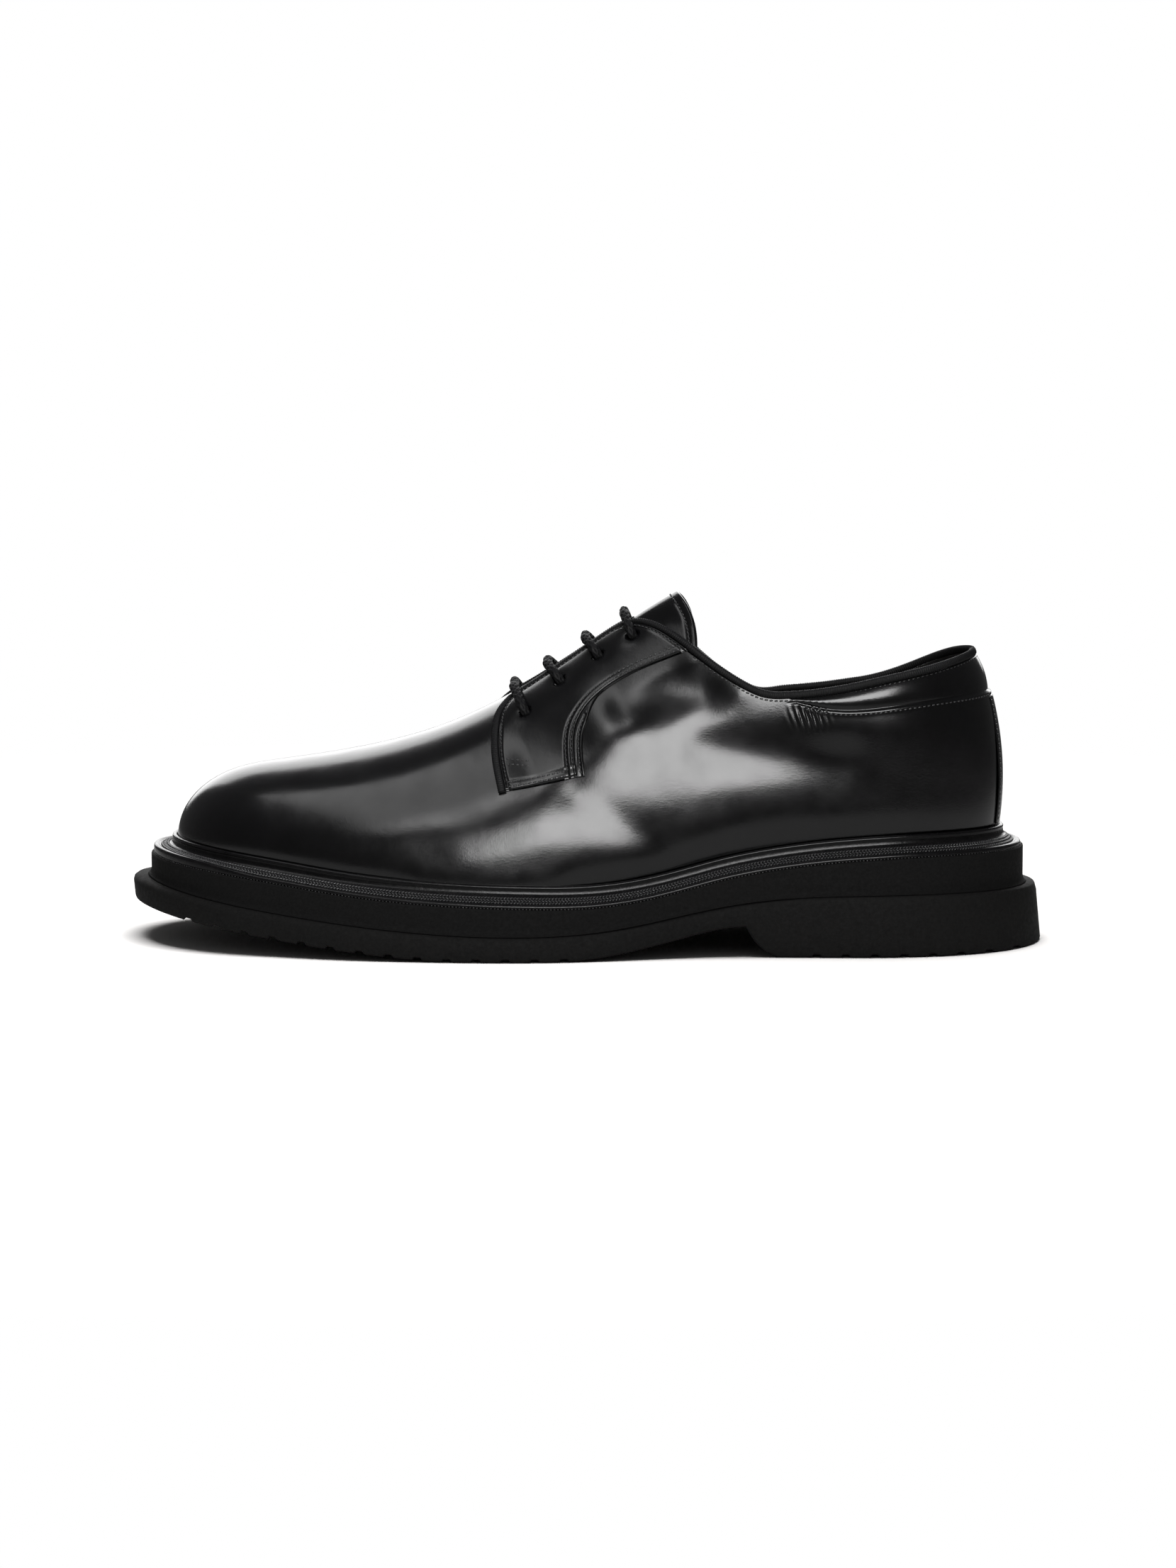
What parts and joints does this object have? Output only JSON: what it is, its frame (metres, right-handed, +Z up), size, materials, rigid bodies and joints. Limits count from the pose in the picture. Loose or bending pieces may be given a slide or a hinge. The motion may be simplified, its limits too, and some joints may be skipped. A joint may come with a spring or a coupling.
{
  "type": "derby shoe",
  "caption": "Black polished leather derby shoe for the left foot, with open lacing, ribbed edge binding, a raised storm welt and a thick layered rubber sole with a flared heel.",
  "frame": {"origin": "floor point under the middle of the outsole's outline", "axes": "+X from toe to heel along the foot, -Y to the outer (lateral) side, +Z up"},
  "size_m": [0.3054, 0.1128, 0.117],
  "materials": {
    "upper_leather": "high gloss polished",
    "binding_tape": "ribbed matte",
    "lace_cord": "waxed braid",
    "welt_strip": "satin",
    "midsole_foam": "matte",
    "outsole_rubber": "matte",
    "insole_board": "matte"
  },
  "bodies": {
    "root": {"upper": "upper_leather", "facing_lateral": "upper_leather", "facing_medial": "upper_leather", "tongue": "upper_leather", "backstay": "upper_leather", "edge_binding": "binding_tape", "lace_bar_1": "lace_cord", "lace_bar_2": "lace_cord", "lace_bar_3": "lace_cord", "lace_bar_4": "lace_cord", "welt": "welt_strip", "midsole": "midsole_foam", "outsole": "outsole_rubber", "insole": "insole_board"}
  },
  "joints": []
}
